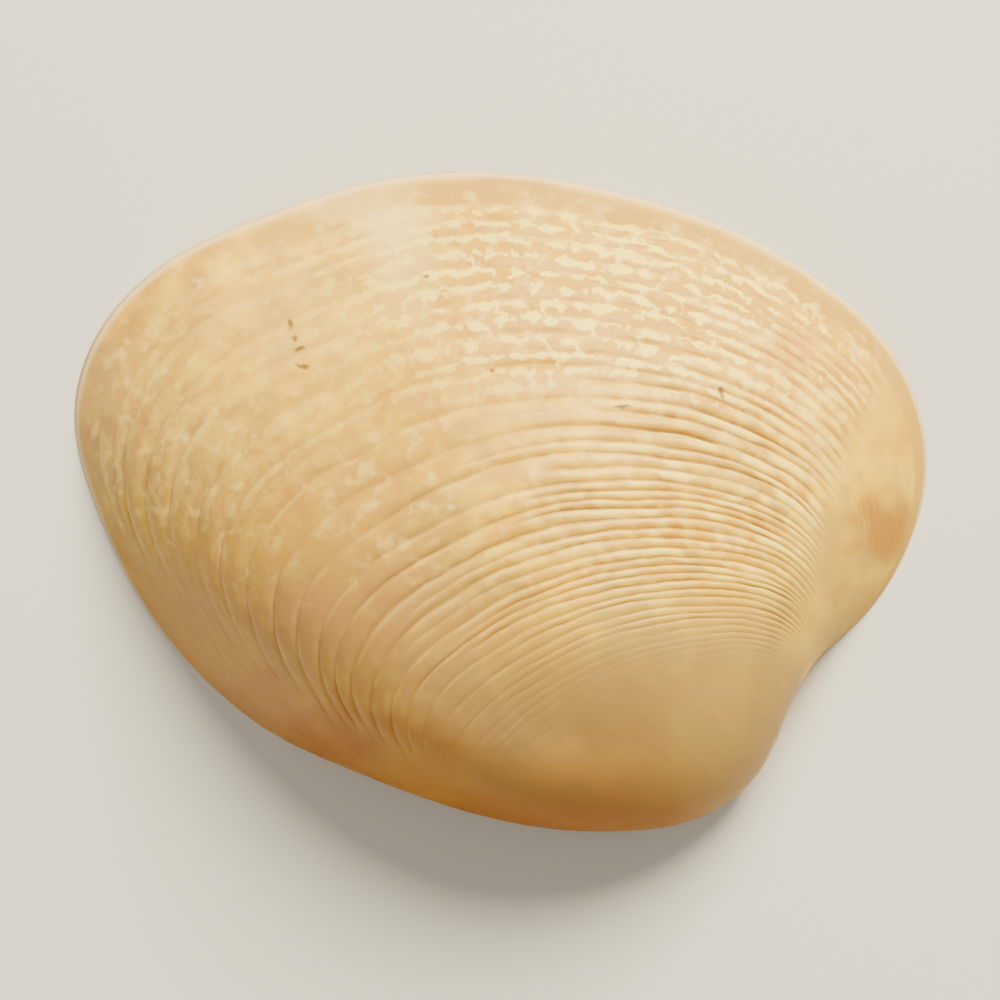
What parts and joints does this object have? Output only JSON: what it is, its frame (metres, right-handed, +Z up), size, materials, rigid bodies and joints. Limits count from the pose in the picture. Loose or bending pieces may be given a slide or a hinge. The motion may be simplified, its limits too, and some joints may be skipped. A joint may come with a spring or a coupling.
{
  "type": "clam shell valve",
  "caption": "Left valve of an oval venus clam, mouth down: domed, concentrically ridged outside, forward-leaning beak, hollow inside with a toothed hinge plate.",
  "frame": {"origin": "middle of the valve's box, on the plane of its rim", "axes": "+X towards the front (anterior) end, +Y towards the ventral margin, +Z up from the rim to the crown"},
  "size_m": [0.0449, 0.0348, 0.0115],
  "materials": {
    "shell": "worn cream to tan shell with a soft porcelain gloss"
  },
  "bodies": {
    "root": {"valve": "shell"}
  },
  "joints": []
}
